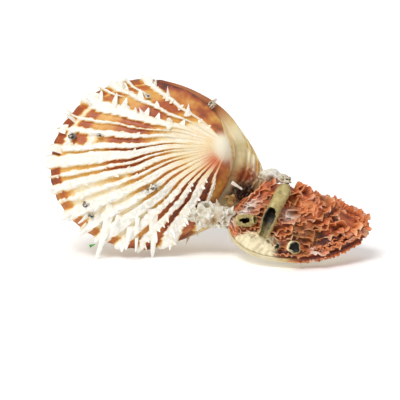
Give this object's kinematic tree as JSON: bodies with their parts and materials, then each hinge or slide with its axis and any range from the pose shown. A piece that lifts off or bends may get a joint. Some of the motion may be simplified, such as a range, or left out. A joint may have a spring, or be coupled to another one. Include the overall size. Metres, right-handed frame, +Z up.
{
  "type": "spiny oyster shell",
  "caption": "Dried spiny oyster, a round ribbed fan with long white spines, grown on the side of a closed coral-red frilled shell with worm tubes.",
  "frame": {"origin": "on the table, under the middle of the whole specimen's box", "axes": "+X from the spiny oyster's far margin towards the frilled shell's pointed end, +Y to the back, +Z up; the fan's ribbed face looks towards -Y"},
  "size_m": [0.1399, 0.0668, 0.0765],
  "materials": {
    "upper_valve_shell": "satin",
    "lower_valve_shell": "satin",
    "frilled_valve_shell": "matte",
    "smooth_valve_shell": "satin",
    "worm_tube_wall": "matte",
    "pale_tube_wall": "matte",
    "white_crust": "matte",
    "shell_splinter": "matte",
    "tan_crumb": "matte",
    "barnacle_plates": "matte"
  },
  "bodies": {
    "root": {"upper_valve": "upper_valve_shell", "lower_valve": "lower_valve_shell", "host_upper_valve": "frilled_valve_shell", "host_lower_valve": "smooth_valve_shell", "worm_tube_tall": "worm_tube_wall", "worm_tube_side": "worm_tube_wall", "worm_tube_round": "pale_tube_wall", "worm_tube_small": "pale_tube_wall", "crust": "white_crust", "crust_back": "white_crust", "shell_chip": "shell_splinter", "shell_crumb": "tan_crumb", "barnacle_a": "barnacle_plates", "barnacle_b": "barnacle_plates", "barnacle_c": "barnacle_plates", "barnacle_d": "barnacle_plates", "barnacle_e": "barnacle_plates"}
  },
  "joints": []
}
